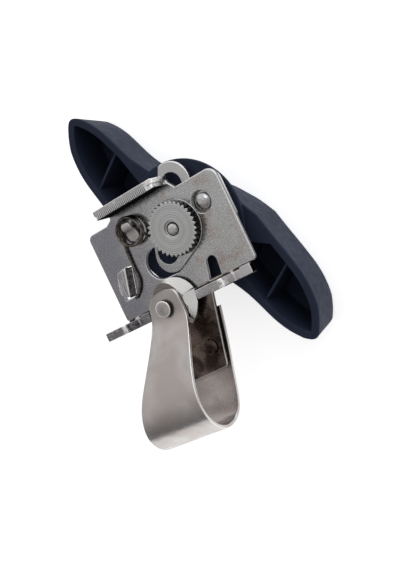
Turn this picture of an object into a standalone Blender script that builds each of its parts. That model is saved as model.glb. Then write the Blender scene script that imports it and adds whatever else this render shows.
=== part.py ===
"""Manual can opener: a punched plate with a spring-loaded strap lever, a knife, a feed wheel and a wing key.

The model lies on the flat back of its wing key. X runs along the plate, Y up the plate and Z out of its
front face, so the feed wheel faces up. Sizes below are in millimetres and MM turns them into metres.
While the pieces are made, (0, 0, 0) is the feed wheel's axis on the plate's front face; the whole object is
then moved so that the origin is the bottom centre of its bounding box.
"""

import math

import bmesh
import bpy
from mathutils import Vector

MM = 0.001

# Sheet metal, as heights along Z (back, front)
PLATE = (-1.5, 0.0)
LEVER = (-3.2, -1.8)
BEARING = (0.25, 0.85)
KNIFE = (1.15, 2.3)
STRAP_SHEET = 1.2
REST_GAP = 0.25

# Centres of the pivots and holes, (x, y)
WHEEL_AXIS = (0.0, 0.0)
LEVER_PIVOT = (11.8, 3.2)
KNIFE_RIVET = (-14.6, -20.6)
LEVER_RIVET = (-9.2, -37.5)
SPRING_POST = (-15.2, 5.9)
SPRING_END = (-9.9, 1.7)
# The lower leg stops in the plate's hole, just above the lever, so that the lever can swing under it
SPRING_TIP = LEVER[1] + 0.2
HANGING_HOLE = (3.5, 12.6)

# The lanced tab that the spring hooks behind: its top end and how far it leans per millimetre down
TAB_TOP = -3.6
TAB_SLANT = 0.33

# Feed wheel and its shaft
WHEEL_TEETH = 33
WHEEL_TIP_RADIUS = 8.6
WHEEL_ROOT_RADIUS = 7.8
WHEEL = (1.35, 3.55)
SHAFT_RADIUS = 1.85
SHAFT_CLEARANCE = 0.3
BUSH_RADIUS = 3.0
LEVER_RELIEF = 1.9

# Torsion spring
WIRE_RADIUS = 0.42
COIL_RADIUS = 4.55
COIL_PITCH = 0.95
COIL_TURNS = 2

# Wing key
HUB_RADIUS = 20.5
HUB_FRONT = -4.7
RIM_FRONT = -5.8
KEY_BACK = -23.0
KEY_WALL = 2.5
KEY_FLOOR = 2.4
KEY_DRAFT = 1.8
NUT_RECESS = (7.2, -18.5)
RIB_HALF_WIDTH = 0.4
RIB_FRONT = -7.2


# ---------------------------------------------------------------- scene and materials


def clear_scene():
    for obj in list(bpy.data.objects):
        bpy.data.objects.remove(obj, do_unlink=True)


def material(name, colour, roughness, metallic):
    made = bpy.data.materials.new(name)
    made.use_nodes = True
    shader = made.node_tree.nodes["Principled BSDF"]
    shader.inputs["Base Color"].default_value = (*colour, 1.0)
    shader.inputs["Roughness"].default_value = roughness
    shader.inputs["Metallic"].default_value = metallic
    return made


def empty(name, centre, parent=None):
    made = bpy.data.objects.new(name, None)
    made.location = Vector((centre[0], centre[1], 0.0)) * MM
    if parent:
        made.location -= parent.location
        made.parent = parent
    bpy.context.collection.objects.link(made)
    return made


def add_object(name, bm, mat, parent):
    """Turns a bmesh in millimetres into an object whose origin is its parent's axis."""
    bmesh.ops.recalc_face_normals(bm, faces=bm.faces)
    mesh = bpy.data.meshes.new(name)
    axis = world_place(parent)
    for vert in bm.verts:
        vert.co = vert.co * MM - axis
    bm.to_mesh(mesh)
    bm.free()
    mesh.shade_smooth()
    mesh.set_sharp_from_angle(angle=math.radians(30))
    mesh.materials.append(mat)
    made = bpy.data.objects.new(name, mesh)
    made.parent = parent
    bpy.context.collection.objects.link(made)
    return made


def world_place(obj):
    place = obj.location.copy()
    while obj.parent:
        obj = obj.parent
        place += obj.location
    return place


def boolean(target, operation, tool):
    tool.hide_render = True
    tool.display_type = "WIRE"
    step = target.modifiers.new(tool.name, "BOOLEAN")
    step.operation = operation
    step.object = tool


# ---------------------------------------------------------------- outlines


def arc(centre, radius, start, end, steps):
    """Points along an arc, angles in degrees, both ends included."""
    points = []
    for i in range(steps + 1):
        angle = math.radians(start + (end - start) * i / steps)
        points.append((centre[0] + radius * math.cos(angle), centre[1] + radius * math.sin(angle)))
    return points


def circle(centre, radius, steps=28):
    return arc(centre, radius, 0, 360, steps)[:-1]


def rounded(corners, steps=5):
    """A closed outline from (x, y, fillet radius) corners."""
    points = []
    count = len(corners)
    for i, (x, y, radius) in enumerate(corners):
        corner = Vector((x, y))
        if radius <= 0:
            points.append((x, y))
            continue
        before = (Vector(corners[i - 1][:2]) - corner).normalized()
        after = (Vector(corners[(i + 1) % count][:2]) - corner).normalized()
        half = before.angle(after) / 2
        reach = radius / math.tan(half)
        centre = corner + (before + after).normalized() * (radius / math.sin(half))
        first = corner + before * reach - centre
        turn = first.angle_signed(corner + after * reach - centre)
        for k in range(steps + 1):
            angle = -turn * k / steps
            spoke = Vector((
                first.x * math.cos(angle) - first.y * math.sin(angle),
                first.x * math.sin(angle) + first.y * math.cos(angle),
            ))
            points.append(tuple(centre + spoke))
    return points


def inset(points, distance):
    """The closed outline moved inwards, for a wall or a draft; points run anticlockwise."""
    moved = []
    count = len(points)
    for i, point in enumerate(points):
        before = Vector(point) - Vector(points[i - 1])
        after = Vector(points[(i + 1) % count]) - Vector(point)
        normal = Vector((-before.y, before.x)).normalized() + Vector((-after.y, after.x)).normalized()
        moved.append(tuple(Vector(point) + normal.normalized() * distance))
    return moved


def smooth_through(stations, steps):
    """Catmull-Rom points through stations of any dimension, ends kept."""
    padded = [stations[0], *stations, stations[-1]]
    result = []
    for i in range(len(stations) - 1):
        a, b, c, d = (Vector(p) for p in padded[i : i + 4])
        for k in range(steps):
            t = k / steps
            result.append(
                0.5 * (2 * b + (c - a) * t + (2 * a - 5 * b + 4 * c - d) * t**2 + (3 * b - a - 3 * c + d) * t**3)
            )
    result.append(Vector(stations[-1]))
    return result


# ---------------------------------------------------------------- solids


def sheet(outline, holes, heights):
    """A bmesh of a flat outline with holes, from heights[0] to heights[1]."""
    bm = bmesh.new()
    edges = []
    for loop in (outline, *holes):
        verts = [bm.verts.new((x, y, heights[0])) for x, y in loop]
        edges += [bm.edges.new((verts[i - 1], vert)) for i, vert in enumerate(verts)]
    filled = bmesh.ops.triangle_fill(bm, edges=edges, use_beauty=True)
    faces = [item for item in filled["geom"] if isinstance(item, bmesh.types.BMFace)]
    raised = bmesh.ops.extrude_face_region(bm, geom=faces, use_keep_orig=True)
    for item in raised["geom"]:
        if isinstance(item, bmesh.types.BMVert):
            item.co.z = heights[1]
    return bm


def turned(centre, profile, steps=28):
    """A bmesh turned about Z at centre from (radius, height) points, closed into a ring or onto the axis."""
    bm = bmesh.new()
    rings = []
    for radius, height in profile:
        if radius == 0:
            rings.append([bm.verts.new((*centre, height))])
        else:
            rings.append([bm.verts.new((x, y, height)) for x, y in circle(centre, radius, steps)])
    closed = profile[0][0] > 0
    pairs = list(zip(rings, rings[1:] + rings[:1])) if closed else list(zip(rings, rings[1:]))
    for low, high in pairs:
        for i in range(steps):
            j = (i + 1) % steps
            corners = []
            for vert in (low[i % len(low)], low[j % len(low)], high[j % len(high)], high[i % len(high)]):
                if vert not in corners:
                    corners.append(vert)
            bm.faces.new(corners)
    return bm


def box(low, high):
    return sheet([(low[0], low[1]), (high[0], low[1]), (high[0], high[1]), (low[0], high[1])], [], (low[2], high[2]))


def prism_along_y(profile, low, high):
    """A bmesh from an (x, z) outline drawn out along Y."""
    bm = sheet(profile, [], (low, high))
    for vert in bm.verts:
        vert.co = Vector((vert.co.x, vert.co.z, vert.co.y))
    return bm


# ---------------------------------------------------------------- plate and what is fixed to it


def plate_outline():
    return rounded([
        (-32.7, -19.2, 1.0),
        (-22.0, -19.2, 0),
        (19.6, -19.2, 1.5),
        (19.9, 11.2, 3.2),
        (5.2, 11.2, 0.5),
        (3.4, 13.6, 0),
        (3.2, 14.6, 0),
        (-21.2, 14.6, 0),
        (-21.6, 12.4, 0.5),
        (-23.9, 11.2, 0.4),
        (-32.5, 11.2, 2.0),
    ])


def plate_holes():
    window = arc((-11.4, -7.05), 5.15, 90, 270, 12) + arc((-7.0, -7.05), 5.15, -90, 90, 12)
    slot = rounded([(2.1, -18.9, 0), (6.7, -18.9, 0), (7.6, -12.2, 1.7), (4.0, -12.2, 1.6)])
    lance = [
        (x + TAB_SLANT * (y - TAB_TOP), y)
        for x, y in rounded([(-26.6, -12.9, 0.8), (-21.7, -12.9, 0.8), (-21.7, -3.4, 0.8), (-26.6, -3.4, 0.8)])
    ]
    return [
        window,
        slot,
        lance,
        circle(WHEEL_AXIS, BUSH_RADIUS + REST_GAP),
        circle((11.25, 3.3), 3.15),
        circle(SPRING_END, 0.9, 14),
        circle(SPRING_POST, 1.6, 20),
    ]


def make_main_plate(mat, parent):
    plate = add_object("main_plate", sheet(plate_outline(), plate_holes(), PLATE), mat, parent)
    guide_right = sheet(
        rounded([(0.4, -22.5, 0.4), (10.2, -22.5, 0.4), (10.2, -19.7, 0.2), (0.4, -19.7, 0.2)]), [], (-1.45, 8.0)
    )
    lip_right = box((10.0, -22.5, -1.4), (17.5, -19.7, 1.4))
    root_right = box((0.6, -20.5, -1.35), (17.3, -18.9, -0.1))
    guide_left = sheet(
        rounded([(-36.8, -22.5, 0.4), (-28.4, -22.5, 0.4), (-28.4, -19.7, 0.2), (-36.8, -19.7, 0.2)]),
        [],
        (-1.45, 8.0),
    )
    lip_left = box((-28.6, -22.5, -1.4), (-22.4, -19.7, 1.4))
    root_left = box((-32.0, -20.5, -1.35), (-22.6, -18.9, -0.1))
    grip = serrated_flange()
    anchor = prism_along_y(
        [(-28.6, -0.6), (-28.2, 0.1), (-23.0, 2.0), (-22.5, 1.8), (-22.5, 0.4), (-26.3, -1.3), (-28.6, -1.3)],
        -12.2,
        TAB_TOP,
    )
    for vert in anchor.verts:
        vert.co.x += TAB_SLANT * (vert.co.y - TAB_TOP)
    for name, shape in (
        ("guide_right", guide_right),
        ("lip_right", lip_right),
        ("root_right", root_right),
        ("guide_left", guide_left),
        ("lip_left", lip_left),
        ("root_left", root_left),
        ("grip_flange", grip),
        ("anchor_tab", anchor),
    ):
        boolean(plate, "UNION", add_object(name, shape, mat, parent))
    return plate


def serrated_flange():
    """The top flange, bent forward, with teeth cut in the front edge."""
    teeth = 22
    left, right, front, depth = -20.2, 0.2, 7.6, 0.55
    pitch = (right - left) / teeth
    profile = [(-21.6, -1.45), (3.3, -1.45), (3.3, 1.4), (2.9, front - 0.6), (2.3, front)]
    for i in range(teeth):
        edge = right - i * pitch
        profile += [(edge, front), (edge - pitch / 2, front - depth)]
    profile += [(left, front), (-21.2, front - 0.3), (-21.6, front - 1.0)]
    return prism_along_y(profile, 13.1, 16.0)


def make_bearing_plate(mat, parent):
    """The pear-shaped plate that carries the shaft's bush over the plate's window."""
    lobe, lobe_radius, disc_radius = (-6.3, -6.8), 5.2, 8.9
    reach = math.hypot(*lobe)
    turn = math.degrees(math.atan2(lobe[1], lobe[0]))
    spread = math.degrees(math.acos((disc_radius - lobe_radius) / reach))
    outline = arc(WHEEL_AXIS, disc_radius, turn + spread, turn + 360 - spread, 30)
    outline += arc(lobe, lobe_radius, turn - spread, turn + spread, 14)
    holes = [circle(WHEEL_AXIS, BUSH_RADIUS + REST_GAP), circle((-6.5, -5.4), 3.75, 24)]
    return add_object("bearing_plate", sheet(outline, holes, BEARING), mat, parent)


def make_shaft_bush(mat, parent):
    inner = SHAFT_RADIUS + 0.1
    profile = [(inner, 1.1), (inner, -3.5), (BUSH_RADIUS, -3.5), (BUSH_RADIUS, 1.1)]
    return add_object("shaft_bush", turned(WHEEL_AXIS, profile), mat, parent)


def make_spring_post(mat, parent):
    profile = [(0, 3.1), (2.2, 3.0), (3.3, 2.5), (3.5, 2.0), (3.5, 0.25), (1.3, 0.25), (1.3, -1.65), (0, -1.65)]
    return add_object("spring_post", turned(SPRING_POST, profile, 24), mat, parent)


def spring_route():
    """The wire's centre line: hooked leg, coil, and the leg that turns down through the plate."""
    start_height = 0.25 + WIRE_RADIUS
    route = [(-25.0, -13.6, start_height), (-22.7, -12.0, start_height), (-21.1, -9.8, start_height)]
    route += [(-20.6, -7.6, start_height), (-20.7, -4.3, start_height), (-20.4, 1.0, start_height)]
    sweep = 360 * COIL_TURNS + 170
    steps = 18 * COIL_TURNS + 8
    for i in range(steps + 1):
        angle = math.radians(180 - sweep * i / steps)
        height = start_height + COIL_PITCH * sweep / 360 * i / steps
        route.append((
            SPRING_POST[0] + COIL_RADIUS * math.cos(angle),
            SPRING_POST[1] + COIL_RADIUS * math.sin(angle),
            height,
        ))
    route += [(-10.4, 4.0, 2.6), (-10.1, 2.5, 2.1), (*SPRING_END, 1.2), (*SPRING_END, SPRING_TIP)]
    return route


def make_torsion_spring(mat, parent):
    axis = world_place(parent)
    curve = bpy.data.curves.new("torsion_spring", "CURVE")
    curve.dimensions = "3D"
    curve.bevel_depth = WIRE_RADIUS * MM
    curve.bevel_resolution = 1
    curve.use_fill_caps = True
    route = spring_route()
    spline = curve.splines.new("POLY")
    spline.points.add(len(route) - 1)
    for point, place in zip(spline.points, route):
        point.co = (*(Vector(place) * MM - axis), 1.0)
    curve.materials.append(mat)
    made = bpy.data.objects.new("torsion_spring", curve)
    made.parent = parent
    bpy.context.collection.objects.link(made)
    return made


# ---------------------------------------------------------------- lever, strap and knife


def make_lever(mat, parent):
    outline = arc((3.5, 12.8), 6.8, -16, 104, 14)
    outline += rounded([(-6.4, 18.1, 1.5), (-7.5, 8.0, 0.8), (-7.5, 1.1, 0), (-11.2, 1.1, 0.4), (-11.2, -1.2, 0.4)])
    outline += arc(WHEEL_AXIS, BUSH_RADIUS + LEVER_RELIEF, 194, -72, 18)
    outline += rounded([
        (-1.4, -6.6, 1.0),
        (-1.6, -12.8, 1.0),
        (-13.0, -13.2, 3.0),
        (-20.6, -18.0, 3.0),
        (-24.0, -30.0, 2.0),
        (-25.4, -45.5, 1.0),
        (-6.6, -45.0, 1.2),
        (0.8, -19.6, 4.0),
        (2.9, -12.6, 3.0),
        (9.0, -8.6, 3.0),
        (19.4, -5.0, 1.0),
        (19.4, 10.4, 3.0),
        (10.4, 10.4, 0.4),
    ])
    holes = [circle(HANGING_HOLE, 3.6, 22), circle(LEVER_PIVOT, 1.85, 18), circle(LEVER_RIVET, 1.8, 18)]
    return add_object("lever", sheet(outline, holes, LEVER), mat, parent)


# (left x, right x, y, z) of the strap's middle surface, from the knife rivet round the bend to the lever
STRAP_STATIONS = [
    (-14.8, -11.4, -15.4, 3.15),
    (-17.4, -9.6, -15.9, 3.15),
    (-18.9, -8.7, -17.0, 3.15),
    (-20.1, -8.3, -18.8, 3.15),
    (-20.9, -8.2, -21.4, 3.15),
    (-22.0, -8.0, -24.2, 3.3),
    (-22.9, -7.9, -27.2, 4.9),
    (-24.0, -7.9, -30.6, 7.2),
    (-26.8, -8.5, -37.5, 11.5),
    (-30.2, -9.0, -44.6, 15.3),
    (-31.4, -8.8, -50.4, 17.2),
    (-33.3, -9.6, -54.9, 15.3),
    (-35.2, -11.0, -58.9, 10.6),
    (-36.7, -12.3, -61.5, 4.6),
    (-36.9, -12.2, -61.6, -0.4),
    (-35.6, -10.8, -59.3, -3.5),
    (-34.0, -9.2, -55.5, -4.05),
    (-31.0, -6.6, -47.0, -4.05),
    (-27.4, -3.5, -37.8, -4.05),
    (-23.6, -0.6, -26.9, -4.05),
]


def make_strap_handle(mat, parent):
    bm = bmesh.new()
    across = 5
    rows = []
    for left, right, y, z in smooth_through(STRAP_STATIONS, 2):
        rows.append([bm.verts.new((left + (right - left) * i / across, y, z)) for i in range(across + 1)])
    for low, high in zip(rows, rows[1:]):
        for i in range(across):
            bm.faces.new((low[i], low[i + 1], high[i + 1], high[i]))
    strap = add_object("strap_handle", bm, mat, parent)
    thick = strap.modifiers.new("sheet", "SOLIDIFY")
    thick.thickness = STRAP_SHEET * MM
    thick.offset = 0.0
    thick.use_even_offset = True
    for name, centre, heights in (
        ("knife_rivet_hole", KNIFE_RIVET, (1.0, 6.0)),
        ("lever_rivet_hole", LEVER_RIVET, (-7.0, -2.0)),
    ):
        boolean(strap, "DIFFERENCE", add_object(name, sheet(circle(centre, 1.8, 18), [], heights), mat, parent))
    return strap


def make_knife(mat, parent):
    outline = arc((-11.3, -20.6), 8.2, 200, 12, 26)
    outline += [(-4.1, -23.0), (-6.4, -26.4), (-9.2, -28.4), (-10.4, -26.2)]
    outline += rounded([(-13.0, -26.4, 0), (-17.0, -25.6, 0)])
    return add_object("knife", sheet(outline, [circle(KNIFE_RIVET, 1.8, 18)], KNIFE), mat, parent)


def rivet(name, centre, shank, front_head, back_head, mat, parent):
    """A rivet: heads are (radius, inner height, outer height)."""
    front_radius, front_inner, front_outer = front_head
    back_radius, back_inner, back_outer = back_head
    crown = 0.25 * (front_outer - front_inner)
    profile = [
        (0, front_outer),
        (front_radius - 0.3, front_outer),
        (front_radius, front_outer - crown),
        (front_radius, front_inner),
        (shank, front_inner),
        (shank, back_inner),
        (back_radius, back_inner),
        (back_radius, back_outer),
        (0, back_outer),
    ]
    return add_object(name, turned(centre, profile, 24), mat, parent)


def make_pivot_rivet(mat, parent):
    profile = [(0, 1.35), (0.9, 1.25), (1.7, 0.9), (2.2, 0.35), (2.35, -0.2), (2.35, -1.55)]
    profile += [(1.6, -1.55), (1.6, -3.45), (2.6, -3.45), (2.6, -4.0), (0, -4.0)]
    return add_object("pivot_rivet", turned(LEVER_PIVOT, profile, 24), mat, parent)


# ---------------------------------------------------------------- wheel, shaft and key


def make_feed_wheel(mat, parent):
    outline = []
    for i in range(WHEEL_TEETH):
        for share, radius in ((0.0, WHEEL_TIP_RADIUS), (0.42, WHEEL_ROOT_RADIUS), (0.58, WHEEL_ROOT_RADIUS)):
            angle = 2 * math.pi * (i + share) / WHEEL_TEETH
            outline.append((radius * math.cos(angle), radius * math.sin(angle)))
    hole = circle(WHEEL_AXIS, SHAFT_RADIUS + SHAFT_CLEARANCE, 24)
    return add_object("feed_wheel", sheet(outline, [hole], WHEEL), mat, parent)


def make_drive_shaft(mat, parent):
    radius = SHAFT_RADIUS
    profile = [(0, 3.75), (0.9, 3.65), (1.5, 3.4), (radius, 3.0), (radius, -20.9), (0, -20.9)]
    return add_object("drive_shaft", turned(WHEEL_AXIS, profile, 24), mat, parent)


def washer(name, inner, outer, heights, mat, parent, centre=WHEEL_AXIS):
    back, front = heights
    profile = [(inner, front), (inner, back), (outer, back), (outer, front)]
    return add_object(name, turned(centre, profile, 28), mat, parent)


def half_turn(points):
    return [(-x, -y) for x, y in points]


def blade_edge():
    """One blade's outline from the hub, up its leading side, round the tip and back to the hub."""
    stations = [(-5.2, 22.0), (-7.6, 25.8), (-9.7, 29.9), (-13.1, 38.0), (-16.0, 42.9), (-19.2, 46.6)]
    leading = [tuple(p) for p in smooth_through(stations, 2)]
    tip = [(-21.4, 47.9), (-23.2, 48.0), (-24.7, 46.6)]
    stations = [(-26.4, 43.6), (-28.0, 39.3), (-28.5, 34.0), (-28.1, 28.4), (-26.6, 21.6), (-24.6, 13.9), (-23.0, 7.4)]
    trailing = [tuple(p) for p in smooth_through(stations, 2)]
    return leading + tip + trailing


def key_outline():
    """Both blades, joined behind the hub drum by a narrower waist."""
    blade = blade_edge()
    waist = [blade[-1], (-20.0, 2.0), (-17.3, -1.8), (-12.8, -7.3), (-8.0, -10.6), (-2.6, -13.8), (2.0, -17.8)]
    waist.append(half_turn(blade)[0])
    outline = blade + [tuple(p) for p in smooth_through(waist, 2)][1:-1]
    return outline + half_turn(outline)


def pocket_outline():
    """The hollow of one blade: its outline moved in by the wall, closed by the side of the hub drum."""
    edge = inset(blade_edge(), KEY_WALL)[4:-3]
    first, last = (math.degrees(math.atan2(y, x)) for x, y in (edge[0], edge[-1]))
    return edge + arc(WHEEL_AXIS, HUB_RADIUS - 0.3, last - 3, first + 4, 8)


def pocket_rib(side):
    """A thin web across a hollow, just below its rim; side is 1 for the upper blade and -1 for the lower."""
    start, end = Vector((-24.9, 24.0)) * side, Vector((-12.75, 31.5)) * side
    across = (end - start).normalized().orthogonal() * RIB_HALF_WIDTH
    corners = [tuple(point) for point in (start - across, end - across, end + across, start + across)]
    return sheet(corners, [], (KEY_BACK + 1.0, RIB_FRONT))


def make_wing_key(mat, parent):
    outline = key_outline()
    bm = bmesh.new()
    front = [bm.verts.new((x, y, RIM_FRONT)) for x, y in outline]
    back = [bm.verts.new((x, y, KEY_BACK)) for x, y in inset(outline, KEY_DRAFT)]
    for i in range(len(outline)):
        bm.faces.new((front[i - 1], front[i], back[i], back[i - 1]))
    bm.faces.new(front)
    bm.faces.new(back)
    key = add_object("wing_key", bm, mat, parent)
    rim = HUB_RADIUS - 0.1
    cone = [(0, HUB_FRONT), (rim - 0.5, HUB_FRONT), (rim, HUB_FRONT - 0.5), (rim, HUB_FRONT - 0.9)]
    cone += [(15.0, -12.0), (0, -12.0)]
    boolean(key, "UNION", add_object("hub_drum", turned(WHEEL_AXIS, cone, 48), mat, parent))
    pocket = pocket_outline()
    for name, loop in (("pocket_upper", pocket), ("pocket_lower", half_turn(pocket))):
        boolean(key, "DIFFERENCE", add_object(name, sheet(loop, [], (KEY_BACK + KEY_FLOOR, -4.0)), mat, parent))
    for name, side in (("rib_upper", 1), ("rib_lower", -1)):
        boolean(key, "UNION", add_object(name, pocket_rib(side), mat, parent))
    recess = sheet(circle(WHEEL_AXIS, NUT_RECESS[0], 32), [], (KEY_BACK - 2, NUT_RECESS[1]))
    boolean(key, "DIFFERENCE", add_object("nut_recess", recess, mat, parent))
    bore = sheet(circle(WHEEL_AXIS, SHAFT_RADIUS + SHAFT_CLEARANCE, 24), [], (KEY_BACK - 2, -2.0))
    boolean(key, "DIFFERENCE", add_object("key_bore", bore, mat, parent))
    return key


def make_key_nut(mat, parent):
    hexagon = circle(WHEEL_AXIS, 4.0, 6)
    hole = circle(WHEEL_AXIS, SHAFT_RADIUS + SHAFT_CLEARANCE, 24)
    return add_object("key_nut", sheet(hexagon, [hole], (-20.9, -18.8)), mat, parent)


def make_key_cap(mat, parent):
    profile = [(0, -21.3), (6.5, -21.3), (6.9, -21.7), (6.9, -22.6), (6.6, -22.9), (0, -22.9)]
    return add_object("key_cap", turned(WHEEL_AXIS, profile, 32), mat, parent)


# ---------------------------------------------------------------- assembly


def stand_on_origin(root):
    """Moves the whole object so that its bounding box stands on the origin, centred."""
    bpy.context.view_layer.update()
    graph = bpy.context.evaluated_depsgraph_get()
    low = Vector((1e9, 1e9, 1e9))
    high = -low
    for obj in bpy.context.scene.objects:
        if obj.hide_render or obj.type == "EMPTY":
            continue
        evaluated = obj.evaluated_get(graph)
        mesh = evaluated.to_mesh()
        for vert in mesh.vertices:
            place = evaluated.matrix_world @ vert.co
            low = Vector(map(min, low, place))
            high = Vector(map(max, high, place))
        evaluated.to_mesh_clear()
    root.location -= Vector(((low.x + high.x) / 2, (low.y + high.y) / 2, low.z))


def main():
    clear_scene()
    plated = material("plated_steel", (0.52, 0.50, 0.50), 0.34, 1.0)
    polished = material("nickel_plate", (0.60, 0.56, 0.54), 0.16, 1.0)
    blade_steel = material("blade_steel", (0.62, 0.62, 0.60), 0.28, 1.0)
    wheel_steel = material("wheel_steel", (0.55, 0.56, 0.53), 0.38, 1.0)
    spring_steel = material("spring_steel", (0.36, 0.32, 0.30), 0.25, 1.0)
    plastic = material("navy_plastic", (0.014, 0.016, 0.028), 0.42, 0.0)

    frame = empty("opener_frame", WHEEL_AXIS)
    lever_axis = empty("lever_axis", LEVER_PIVOT, frame)
    key_axis = empty("key_axis", WHEEL_AXIS, frame)

    make_main_plate(plated, frame)
    make_bearing_plate(plated, frame)
    make_shaft_bush(wheel_steel, frame)
    make_spring_post(polished, frame)
    make_torsion_spring(spring_steel, frame)
    make_pivot_rivet(plated, frame)

    make_lever(polished, lever_axis)
    make_strap_handle(polished, lever_axis)
    make_knife(blade_steel, lever_axis)
    rivet("knife_rivet", KNIFE_RIVET, 1.5, (2.75, 4.0, 5.1), (2.5, 0.9, 0.3), polished, lever_axis)
    rivet("lever_rivet", LEVER_RIVET, 1.5, (2.5, -1.55, -1.1), (2.3, -4.9, -5.3), polished, lever_axis)

    make_feed_wheel(wheel_steel, key_axis)
    make_drive_shaft(wheel_steel, key_axis)
    inner = SHAFT_RADIUS + SHAFT_CLEARANCE
    washer("thrust_washer", inner, 5.0, (-4.45, -4.1), polished, key_axis)
    washer("spring_washer", inner, 4.2, (-3.95, -3.65), spring_steel, key_axis)
    make_wing_key(plastic, key_axis)
    make_key_nut(wheel_steel, key_axis)
    make_key_cap(plastic, key_axis)

    stand_on_origin(frame)


main()
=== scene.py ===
"""Looks of a manual can opener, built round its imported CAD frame.

Sizes are millimetres in the opener's own axes: X runs along the plate, Y up the plate and Z out of its
front face, and (0, 0, 0) is the feed wheel's axis on that face. ORIGIN, read from the frame, places them
in metres.
"""

import math

import bmesh
import bpy
from mathutils import Matrix, Vector


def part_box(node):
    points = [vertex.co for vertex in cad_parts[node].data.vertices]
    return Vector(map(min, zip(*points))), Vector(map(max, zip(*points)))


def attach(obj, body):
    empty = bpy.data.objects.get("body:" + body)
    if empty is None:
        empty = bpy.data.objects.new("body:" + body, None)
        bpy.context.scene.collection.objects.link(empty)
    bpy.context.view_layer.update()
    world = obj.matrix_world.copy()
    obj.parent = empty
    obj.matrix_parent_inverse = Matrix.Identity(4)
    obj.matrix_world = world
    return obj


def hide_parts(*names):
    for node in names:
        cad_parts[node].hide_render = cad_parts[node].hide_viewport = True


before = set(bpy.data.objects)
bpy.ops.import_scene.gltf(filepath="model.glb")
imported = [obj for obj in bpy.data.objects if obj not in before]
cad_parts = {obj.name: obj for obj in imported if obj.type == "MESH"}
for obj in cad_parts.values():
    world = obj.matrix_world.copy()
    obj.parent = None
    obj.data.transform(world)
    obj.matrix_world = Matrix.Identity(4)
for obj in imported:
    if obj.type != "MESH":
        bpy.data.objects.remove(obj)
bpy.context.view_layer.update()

MM = 0.001

# Heights along Z (back, front)
PLATE = (-1.5, 0.0)
LEVER = (-3.2, -1.8)
BEARING = (0.25, 0.85)
KNIFE = (1.15, 2.3)
WHEEL = (1.35, 3.55)
FLANGE_BACK = -1.45
GUIDE_FRONT = 8.0
LIP_FRONT = 1.4
GRIP_FRONT = 7.6

# The fine teeth along the front of the grip flange
SERRATIONS = 30
SERRATED = (-20.4, 0.4)
SERRATION_DEPTH = 0.45

STRAP_SHEET = 1.2
# The strap's path is smoothed this many times from this point on
SMOOTH_FROM = 32
SMOOTH_ROUNDS = 24

# Centres of the pivots and holes, (x, y)
WHEEL_AXIS = (0.0, 0.0)
LEVER_PIVOT = (11.8, 3.2)
KNIFE_RIVET = (-14.6, -20.6)
LEVER_RIVET = (-9.2, -37.5)
SPRING_POST = (-15.2, 5.9)
SPRING_END = (-9.9, 1.7)
# The spring's downward leg stops in the plate's hole, just above the lever, which swings under it
SPRING_TIP = LEVER[1] + 0.2
HANGING_HOLE = (3.5, 12.6)

# The lanced tab that the spring hooks behind: its top end and how far it leans per millimetre down
TAB_TOP = -3.6
TAB_SLANT = 0.33

# The widest part of the knife's ground edge
GROUND_WIDTH = 4.0

# How much painted highlight the sheared sides of holes get, as a share of a rolled edge's
HOLE_SHINE = 0.8

WHEEL_TEETH = 33
WHEEL_TIP_RADIUS = 8.6
WHEEL_ROOT_RADIUS = 7.75
SHAFT_RADIUS = 1.85
BUSH_RADIUS = 3.0

WIRE_RADIUS = 0.42
COIL_RADIUS = 4.55
COIL_PITCH = 0.95
COIL_TURNS = 2

HUB_RADIUS = 20.5
HUB_FRONT = -4.7
RIM_FRONT = -5.8
KEY_BACK = -23.0
KEY_WALL = 2.5
KEY_FLOOR = 2.4
KEY_DRAFT = 1.8
RIB_HALF_WIDTH = 0.4
RIB_FRONT = -7.2

CAMERA_PLACE = (137.14, -22.95, 224.45)
CAMERA_TILT = (-14.29, 28.66, -29.69)
CAMERA_LENS = 54.66

axis_low, axis_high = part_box("drive_shaft")
ORIGIN = Vector((
    (axis_low.x + axis_high.x) / 2,
    (axis_low.y + axis_high.y) / 2,
    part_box("feed_wheel")[0].z - WHEEL[0] * MM,
))


# ---------------------------------------------------------------- outlines


def arc(centre, radius, start, end, steps):
    """Points along an arc, angles in degrees, both ends included."""
    points = []
    for i in range(steps + 1):
        angle = math.radians(start + (end - start) * i / steps)
        points.append((centre[0] + radius * math.cos(angle), centre[1] + radius * math.sin(angle)))
    return points


def circle(centre, radius, steps=64):
    return arc(centre, radius, 0, 360, steps)[:-1]


def rounded(corners, steps=8, closed=True):
    """An outline from (x, y, fillet radius) corners."""
    points = []
    count = len(corners)
    for i, (x, y, radius) in enumerate(corners):
        corner = Vector((x, y))
        if radius <= 0 or not closed and i in (0, count - 1):
            points.append((x, y))
            continue
        before = (Vector(corners[i - 1][:2]) - corner).normalized()
        after = (Vector(corners[(i + 1) % count][:2]) - corner).normalized()
        half = before.angle(after) / 2
        if half > math.radians(89):
            points.append((x, y))
            continue
        centre = corner + (before + after).normalized() * (radius / math.sin(half))
        first = corner + before * (radius / math.tan(half)) - centre
        turn = first.angle_signed(corner + after * (radius / math.tan(half)) - centre)
        for k in range(steps + 1):
            angle = -turn * k / steps
            points.append((
                centre.x + first.x * math.cos(angle) - first.y * math.sin(angle),
                centre.y + first.x * math.sin(angle) + first.y * math.cos(angle),
            ))
    return points


def area(points):
    return sum(a[0] * b[1] - b[0] * a[1] for a, b in zip(points, points[1:] + points[:1])) / 2


def anticlockwise(points):
    return points if area(points) > 0 else points[::-1]


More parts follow.
